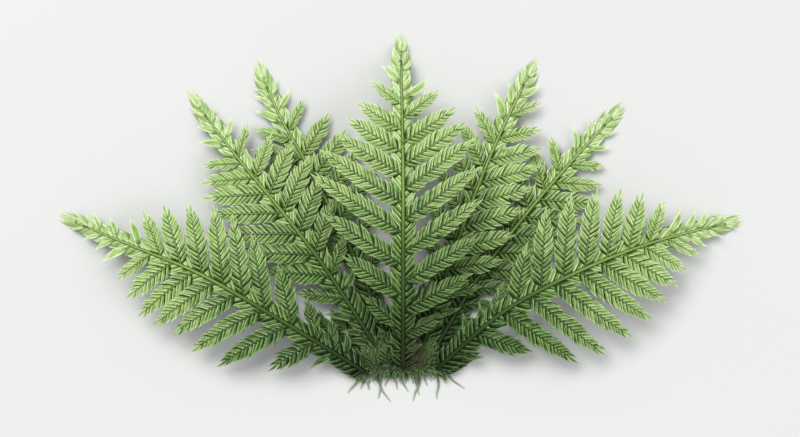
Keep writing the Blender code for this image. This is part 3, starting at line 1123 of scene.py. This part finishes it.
# %% Where the leaves grow and which way they look
LOOSE_SPREAD, LOOSE_LIFT, LOOSE_ROLL = 0.06, 0.02, 0.04  # radians that a leaf may be off
FOOT_LOOSE = 3.2  # times as much at the foot of the plant, where the leaves are least even
EVEN_AGE = 0.45  # the age from which they are as even as at the tips


def leaf_axes(tree, given, side, last):
    """The directions that a leaf points along and faces."""
    paired = 1.0 - last
    along = out(node(tree, "GeometryNodeInputTangent"))
    across = vector_of(tree, "CROSS_PRODUCT", (0.0, 0.0, 1.0), along)
    across = vector_of(tree, "NORMALIZE", across)
    up = vector_of(tree, "CROSS_PRODUCT", along, across)
    loose = chance(-LOOSE_SPREAD, LOOSE_SPREAD, given["Seed"], 1)
    loose = loose * remap(named(tree, "age"), 0.0, EVEN_AGE, FOOT_LOOSE, 1.0)
    spread = (named(tree, "leaf_spread") + loose) * paired
    forward = scaled(tree, along, spread.math("COSINE"))
    outward = scaled(tree, across, spread.math("SINE") * side)
    flat = vector_of(tree, "ADD", forward, outward)
    lift = given["Lift"] + chance(-LOOSE_LIFT, LOOSE_LIFT, given["Seed"], 2)
    rise = scaled(tree, up, lift.math("SINE"))
    points = vector_of(tree, "ADD", scaled(tree, flat, lift.math("COSINE")), rise)
    ahead = vector_of(tree, "SUBTRACT", along, scaled(tree, flat, spread.math("COSINE")))
    ahead = vector_of(tree, "NORMALIZE", ahead)
    roll = (given["Roll"] + chance(-LOOSE_ROLL, LOOSE_ROLL, given["Seed"], 3)) * paired
    back = scaled(tree, ahead, roll.math("SINE") * -1.0)
    faces = vector_of(tree, "ADD", scaled(tree, up, roll.math("COSINE")), back)
    inputs = {"Primary Axis": points, "Secondary Axis": faces}
    axes = {"primary_axis": "Y", "secondary_axis": "Z"}
    return out(node(tree, "FunctionNodeAxesToRotation", inputs, **axes)), across


# %% The tubes of the stems
LEAF_SHEET = 0.9  # share of the sheet's width that the leaves have; the tubes have the rest
STRIP_START = LEAF_SHEET + 0.005
STRIP_WIDTH = 0.18
STRIP_LENGTH, STRIP_GAP = 0.9, 0.05


def tubes_along(tree, given, stems, spline, index):
    """A tube for each stem: a ring of radius 1, scaled to the thickness at each point."""
    inputs = {"Resolution": given["Tube Sides"], "Radius": 1.0}
    ring = out(node(tree, "GeometryNodeCurvePrimitiveCircle", inputs, mode="RADIUS"), "Curve")
    ring = store(ring, "around", out(spline, "Factor"))
    stems = store(stems, "length_up", out(spline, "Length"))
    stems = store(stems, "share_up", out(spline, "Factor"))
    stems = store(stems, "strand", index, domain="CURVE")
    inputs = {"Curve": stems, "Profile Curve": ring, "Fill Caps": True}
    inputs["Scale"] = named(tree, "stem_thick") * MM
    tubes = out(node(tree, "GeometryNodeCurveToMesh", inputs))
    # How far the surface faces sideways, for the painted shade on the flanks of the stems.
    _, _, facing_up = split(out(node(tree, "GeometryNodeInputNormal")))
    tubes = store(tubes, "flank", 1.0 - facing_up.math("ABSOLUTE"))

    # Each tube gets a strip of its own beside the leaves' sheet, for the bake.
    u = named(tree, "around").math("PINGPONG", 0.5) * STRIP_WIDTH + STRIP_START
    up_strip = named(tree, "share_up") * STRIP_LENGTH + STRIP_GAP
    v = (named(tree, "strand") + up_strip) / count_of(stems, "CURVE", "Spline Count")
    return of_tissue(store_map(tubes, u, v), given["Stem Tissue"])


# %% The leaves on the stems
SEAT = 0.75  # share of a stem's radius that a leaf sits away from its middle
LEAF_SIZES = (0.9, 1.1)  # the smallest and the largest, beside what its guide says


def leaves_along(tree, given, stems, number, index):
    """Leaves half a gap apart, each with its own size, tint and shape."""
    gap = named(tree, "leaf_gap") * given["Leaf Gap"]
    inputs = {"Curve": stems, "Length": gap * 0.5}
    seats = out(node(tree, "GeometryNodeResampleCurve", inputs, mode="LENGTH"))
    odd = number % 2.0
    side = 1.0 - odd * 2.0
    last = out(node(tree, "GeometryNodeCurveEndpointSelection", {"Start Size": 0, "End Size": 1}))
    seats = store(seats, "hand", 1.0 - odd)
    seats = store(seats, "alone", last)

    # How a leaf is turned is kept before its seat steps aside.
    rotation, across = leaf_axes(tree, given, side, last)
    kept = node(tree, "GeometryNodeCaptureAttribute")
    kept.capture_items.new("ROTATION", "Turn")
    fill(kept, {"Geometry": seats, "Turn": rotation})
    reach = named(tree, "stem_thick") * MM * SEAT * side * (1.0 - last)
    under = scaled(tree, (0.0, 0.0, -MM), named(tree, "leaf_under"))
    offset = vector_of(tree, "ADD", scaled(tree, across, reach), under)
    inputs = {"Geometry": out(kept, "Geometry"), "Offset": offset}
    seats = out(node(tree, "GeometryNodeSetPosition", inputs))

    size = chance(*LEAF_SIZES, given["Seed"], 4) / MM
    long = named(tree, "leaf_long") * given["Leaf Length"]
    wide = named(tree, "leaf_wide") * given["Leaf Width"]
    inputs = {"Min": 0, "Max": len(BLADES) - 1, "Seed": given["Seed"]}
    choice = out(node(tree, "FunctionNodeRandomValue", inputs, data_type="INT"), "Value")
    inputs = {"Collection": given["Leaves"], "Separate Children": True, "Reset Children": True}
    shapes = out(node(tree, "GeometryNodeCollectionInfo", inputs))
    leaves_here = out(node(tree, "GeometryNodeInstanceOnPoints", {
        "Points": seats,
        "Selection": (number > 0.5) * (named(tree, "leaf_long") > 0.01),
        "Instance": shapes,
        "Pick Instance": True,
        "Instance Index": odd * len(BLADES) + choice,
        "Rotation": out(kept, "Turn"),
        "Scale": joined(tree, wide * size, long * size, wide / MM),
    }))
    tint = chance(0.0, 1.0, given["Seed"], 5)
    leaves_here = store(leaves_here, "tint", tint, domain="INSTANCE")
    return store(leaves_here, "tile", index, domain="INSTANCE")


# %% A sheet for the bake, with a tile for each leaf
def on_sheet(tree, placed):
    """Real leaves whose own maps lie side by side on one square sheet."""
    leaf_count = count_of(placed, "INSTANCES", "Instance Count")
    columns = leaf_count.math("SQRT").math("CEIL")
    tile = named(tree, "tile")
    line = ((tile + 0.5) / columns).math("FLOOR")
    u, v, _ = split(named(tree, "OFBake", "FLOAT_VECTOR"))
    u = (tile % columns + u) / columns * LEAF_SHEET
    real = out(node(tree, "GeometryNodeRealizeInstances", {"Geometry": placed}))
    return store_map(real, u, (line + v) / columns)


# %% Build the tree
SETTLED = 0.15 * MM  # what would come lower than this is pressed on to the surface


def clothing_tree():
    tree, given = new_group("clothe_stems", "GeometryNodeTree", {
        "Guide": "Geometry",
        "Leaf Length": "Float",
        "Leaf Width": "Float",
        "Leaf Gap": "Float",
        "Lift": "Float",
        "Roll": "Float",
        "Tube Sides": "Int",
        "Seed": "Int",
        "Leaves": "Collection",
        "Leaf Tissue": "Material",
        "Stem Tissue": "Material",
    }, {"Plant": "Geometry"})
    stems = out(node(tree, "GeometryNodeMeshToCurve", {"Mesh": given["Guide"]}))
    stems = out(node(tree, "GeometryNodeSetCurveNormal", {"Curve": stems}, mode="Z_UP"))
    spline = node(tree, "GeometryNodeSplineParameter")
    index = out(node(tree, "GeometryNodeInputIndex"))
    tubes = tubes_along(tree, given, stems, spline, index)
    placed = leaves_along(tree, given, stems, out(spline, "Index"), index)
    both = node(tree, "GeometryNodeJoinGeometry")
    fill(both, {0: of_tissue(on_sheet(tree, placed), given["Leaf Tissue"])})
    fill(both, {0: tubes})

    # What would sink into the surface settles on it, and keeps its order.
    x, y, z = split(out(node(tree, "GeometryNodeInputPosition")))
    height = ((z - SETTLED) / SETTLED).math("EXPONENT") * SETTLED
    inputs = {"Geometry": out(both), "Selection": z < SETTLED}
    inputs["Position"] = joined(tree, x, y, height)
    finished = out(node(tree, "GeometryNodeSetPosition", inputs))
    node(tree, "NodeGroupOutput", {"Plant": finished})
    arrange(tree)
    return tree


clothe_stems = clothing_tree()
print("tree", clothe_stems.name, "with", len(clothe_stems.nodes), "nodes")

# %% [markdown]
# ## Leaf and stem tissue
#
# Young tissue at the tips is pale yellow-green and nearly white at the margins,
# where a painted highlight adds to the free margins of the leaves. Towards the
# base it turns mid green and then dark, and painted shade darkens the lower
# fronds and the shoots at their feet. All of it shares two effects: fine long
# cells that show as striations, and the brown of old tissue at the foot of the
# plant. Each is a node group, so that the leaves and the stems can use it with
# values of their own. Painted shade also darkens where one leaf covers the
# next, the roots of the leaves and the flanks of the stems.


# %% The shared effects
def attribute(tree, name):
    return out(node(tree, "ShaderNodeAttribute", attribute_name=name), "Fac")


def cells_group():
    """Long cells: a noise that changes fast across the tissue and slowly along it."""
    tree, given = new_group(
        "long_cells",
        "ShaderNodeTree",
        {"Across": "Float", "Along": "Float", "Rows": "Float", "Seed": "Float"},
        {"Lines": "Float", "Mottle": "Float"},
    )
    x = given["Across"] * given["Rows"]
    place = joined(tree, x, given["Along"] * 2.2, given["Seed"] * 37.0)
    lines = noise(place, 1.0, 1.0, 0.4)
    mottle = noise(place, 0.35, 2.0, 0.6)
    node(tree, "NodeGroupOutput", {"Lines": lines, "Mottle": mottle})
    arrange(tree)
    return tree


def old_tissue_group():
    """How brown the old tissue is: a ragged patch at the foot of the plant."""
    tree, given = new_group(
        "old_tissue", "ShaderNodeTree", {"Middle": "Vector", "Reach": "Float"}, {"Share": "Float"}
    )
    where = scaled(tree, out(node(tree, "ShaderNodeTexCoord"), "Object"), 1 / MM)
    away = vector_of(tree, "SUBTRACT", where, given["Middle"])
    away = vector_of(tree, "MULTIPLY", away, (1, 1, 0))
    ragged = noise(where, 0.9, 3.0, 0.6) * given["Reach"]
    far = vector_of(tree, "LENGTH", away) + ragged * 1.2
    # It is full up to 0.6 of the reach from its middle, and gone at 1.6 of it.
    share = math_of(tree, "SUBTRACT", 1.6, far / given["Reach"], clamp=True)
    node(tree, "NodeGroupOutput", {"Share": share})
    arrange(tree)
    return tree


long_cells = cells_group()
old_tissue = old_tissue_group()
print("effects", long_cells.name, old_tissue.name)


# %% Small recipes for the tissues
def cells(tree, **inputs):
    """The fine lines of the long cells, and the broad mottling behind them."""
    made = node(tree, "ShaderNodeGroup", inputs, node_tree=long_cells)
    return out(made, "Lines"), out(made, "Mottle")


def browned(color):
    """Lay the brown of old tissue over a colour."""
    inputs = {"Middle": (2.3, -18.3, 0.0), "Reach": 2.6}
    share = out(node(color.tree, "ShaderNodeGroup", inputs, node_tree=old_tissue))
    return blend(share * 0.8, color, (0.045, 0.026, 0.014))


def ramp(value, stops):
    """A smooth run of colours: (place, (r, g, b)) for each stop."""
    made = node(value.tree, "ShaderNodeValToRGB", {"Fac": value})
    made.color_ramp.interpolation = "EASE"
    elements = made.color_ramp.elements
    while len(elements) < len(stops):
        elements.new(0.5)
    for element, (place, color) in zip(elements, stops):
        element.position = place
        element.color = (*color, 1.0)
    return out(made, "Color")


def finish_tissue(shader, color, rough, height, strength, depth, **more):
    """Join a tissue's colour, roughness and relief to its shader."""
    inputs = {"Height": height, "Strength": strength, "Distance": depth * MM}
    relief = out(node(shader.id_data, "ShaderNodeBump", inputs))
    fill(shader, {"Base Color": browned(color), "Roughness": rough, "Normal": relief, **more})
    arrange(shader.id_data)


# %% The leaf tissue
leaf_tissue, tree, shader = new_material("leaf_tissue")
across, along, _ = split(out(node(tree, "ShaderNodeUVMap", uv_map="LeafUV")))
tint = attribute(tree, "tint")
hand = attribute(tree, "hand")
lines, mottle = cells(tree, Across=across, Along=along, Rows=9.0, Seed=tint)

# Age runs from the base of the plant to its tips, a little differently in each leaf.
# Fronds that lie deeper in the fan are darkened with painted shade.
aged = attribute(tree, "age") + (tint - 0.5) * 0.12 - attribute(tree, "depth") * 0.06
body = ramp(aged, (
    (0.0, (0.015, 0.042, 0.004)),
    (0.15, (0.026, 0.066, 0.007)),
    (0.3, (0.060, 0.132, 0.015)),
    (0.6, (0.270, 0.445, 0.080)),
    (0.95, (0.425, 0.600, 0.215)),
))
pale = ramp(aged, (
    (0.0, (0.115, 0.205, 0.070)),
    (0.15, (0.170, 0.285, 0.095)),
    (0.3, (0.31, 0.47, 0.17)),
    (0.5, (0.56, 0.73, 0.35)),
    (0.8, (0.76, 0.87, 0.54)),
))
dark = ramp(aged, (
    (0.0, (0.004, 0.012, 0.001)),
    (0.45, (0.015, 0.040, 0.004)),
    (1.0, (0.120, 0.215, 0.045)),
))

# The front margin and the tip lie free and are pale. The margin is pale partly
# from its own whitish tissue and partly from a painted highlight, where it
# catches the light. The last leaf of a stem lies free on both sides.
front = hand * across + (1.0 - hand) * (1.0 - across)
paired = 1.0 - attribute(tree, "alone")
from_middle = (across - 0.5).math("ABSOLUTE")
both_margins = remap(from_middle, 0.25, 0.45) - paired
pale_and_lit = remap(front, 0.76, 0.88).math("MAXIMUM", both_margins)
pale_and_lit = pale_and_lit.math("MAXIMUM", remap(lines, 0.54, 0.64, 0.0, 0.5))
pale_and_lit = pale_and_lit.math("MAXIMUM", remap(along, 0.58, 0.80))
color = blend(pale_and_lit, body, pale)

# The leaf behind covers the back margin, and a painted shadow, a thin dark
# line, follows the edge of what it covers. The root of the leaf, where it
# meets its stem, is darkened with painted shade too.
edge_over = remap(along, 0.30, 0.70, 0.42, 0.02)
past_edge = front - edge_over + (mottle - 0.5) * 0.35
shadow_strength = remap(aged, 0.5, 0.9, 1.0, 0.5)
painted_shadow = remap(past_edge, 0.06, 0.14, 1.0, 0.0) * (paired * shadow_strength)
root = remap(along, 0.06, 0.13, 1.0, 0.0) * remap(aged, 0.3, 0.9, 0.9, 0.4)
shade_and_lines = painted_shadow.math("MAXIMUM", root).math("MAXIMUM", remap(lines, 0.36, 0.46, 0.5, 0.0))
color = blend(shade_and_lines, color, dark)
rough = remap(mottle, 0.3, 0.7, 0.42, 0.6)
finish_tissue(shader, color, rough, lines, 0.5, 0.05, **{
    "Specular IOR Level": 0.15,
    "Subsurface Weight": 0.1,
    "Subsurface Radius": (0.35, 0.5, 0.15),
    "Subsurface Scale": 0.3 * MM,
})


# %% The tissue of the stems
def cells_of_tube(tree, rows, seed):
    up_stem = attribute(tree, "length_up") * (1 / MM)
    return cells(tree, Across=attribute(tree, "around"), Along=up_stem, Rows=rows, Seed=seed)


stem_tissue, tree, shader = new_material("stem_tissue")
lines, mottle = cells_of_tube(tree, 14.0, 0.3)
age = attribute(tree, "age")
body = ramp(age, (
    (0.0, (0.015, 0.036, 0.005)),
    (0.3, (0.062, 0.125, 0.020)),
    (0.6, (0.250, 0.400, 0.072)),
    (1.0, (0.430, 0.600, 0.190)),
))
dark = ramp(age, (
    (0.0, (0.006, 0.018, 0.002)),
    (0.5, (0.025, 0.060, 0.008)),
    (1.0, (0.070, 0.130, 0.020)),
))
striped = remap(lines, 0.35, 0.65) * 0.35
# The flanks of a stem are darkened with painted shade, and its top is left lighter.
flank = remap(attribute(tree, "flank"), 0.12, 0.34, 0.0, 0.95)
color = blend(striped.math("MAXIMUM", flank), body, dark)
rough = remap(mottle, 0.3, 0.7, 0.4, 0.6)
finish_tissue(shader, color, rough, lines, 0.4, 0.03, **{"Specular IOR Level": 0.2})

# %% The tissue of the rhizoids
root_tissue, tree, shader = new_material("root_tissue")
lines, mottle = cells_of_tube(tree, 9.0, 0.7)
age = attribute(tree, "age")
body = ramp(age, (
    (0.0, (0.022, 0.034, 0.009)),
    (0.3, (0.095, 0.145, 0.065)),
    (0.7, (0.270, 0.350, 0.235)),
    (1.0, (0.480, 0.550, 0.440)),
))
striped = remap(lines, 0.38, 0.52, 0.4, 0.0)
color = blend(striped, body, (0.045, 0.075, 0.026))
spotted = remap(mottle, 0.55, 0.7, 0.0, 0.3) * age
color = blend(spotted, color, (0.42, 0.48, 0.38))
rough = remap(mottle, 0.3, 0.7, 0.45, 0.65)
finish_tissue(shader, color, rough, lines, 0.4, 0.03, **{"Specular IOR Level": 0.25})
print("materials", leaf_tissue.name, stem_tissue.name, root_tissue.name)

# %% [markdown]
# ## Grow the fronds
#
# Each guide gets the tree as a modifier. The inputs are set by identifier,
# before the result is first read. Then the result is copied to a plain mesh,
# because a finished piece has no modifier and no instances left.

# %% Clothe a guide and keep the result
LEAF_LIFT = math.radians(-3)
LEAF_ROLL = math.radians(13)
TUBE_SIDES = 8


def set_inputs(modifier, values):
    identifiers = {
        item.name: item.identifier
        for item in modifier.node_group.interface.items_tree
        if item.item_type == "SOCKET" and item.in_out == "INPUT"
    }
    for name, value in values.items():
        modifier[identifiers[name]] = value


def grown(guide_object, name, values):
    """A plain mesh object of what the tree makes from a guide."""
    modifier = guide_object.modifiers.new("clothe_stems", "NODES")
    modifier.node_group = clothe_stems
    set_inputs(modifier, values)
    bpy.context.view_layer.update()
    graph = bpy.context.evaluated_depsgraph_get()
    mesh = bpy.data.meshes.new_from_object(guide_object.evaluated_get(graph))
    mesh.name = name
    piece = bpy.data.objects.new(name, mesh)
    bpy.context.scene.collection.objects.link(piece)
    guide_mesh = guide_object.data
    bpy.data.objects.remove(guide_object)
    bpy.data.meshes.remove(guide_mesh)
    return piece


for seed, name in enumerate(guides):
    is_frond = name in FRONDS
    piece = grown(guides[name], name + ("_leafy" if is_frond else "_threads"), {
        "Leaf Length": LEAF_LONG * MM,
        "Leaf Width": LEAF_WIDE * MM,
        "Leaf Gap": LEAF_GAP * MM,
        "Lift": LEAF_LIFT,
        "Roll": LEAF_ROLL,
        "Tube Sides": TUBE_SIDES,
        "Seed": seed * 10,
        "Leaves": leaves,
        "Leaf Tissue": leaf_tissue,
        "Stem Tissue": stem_tissue if is_frond else root_tissue,
    })
    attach(piece, "root")
    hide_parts(name)
    print(piece.name, len(piece.data.polygons), "faces")

# %% Finish
bpy.context.scene.collection.children.unlink(leaves)
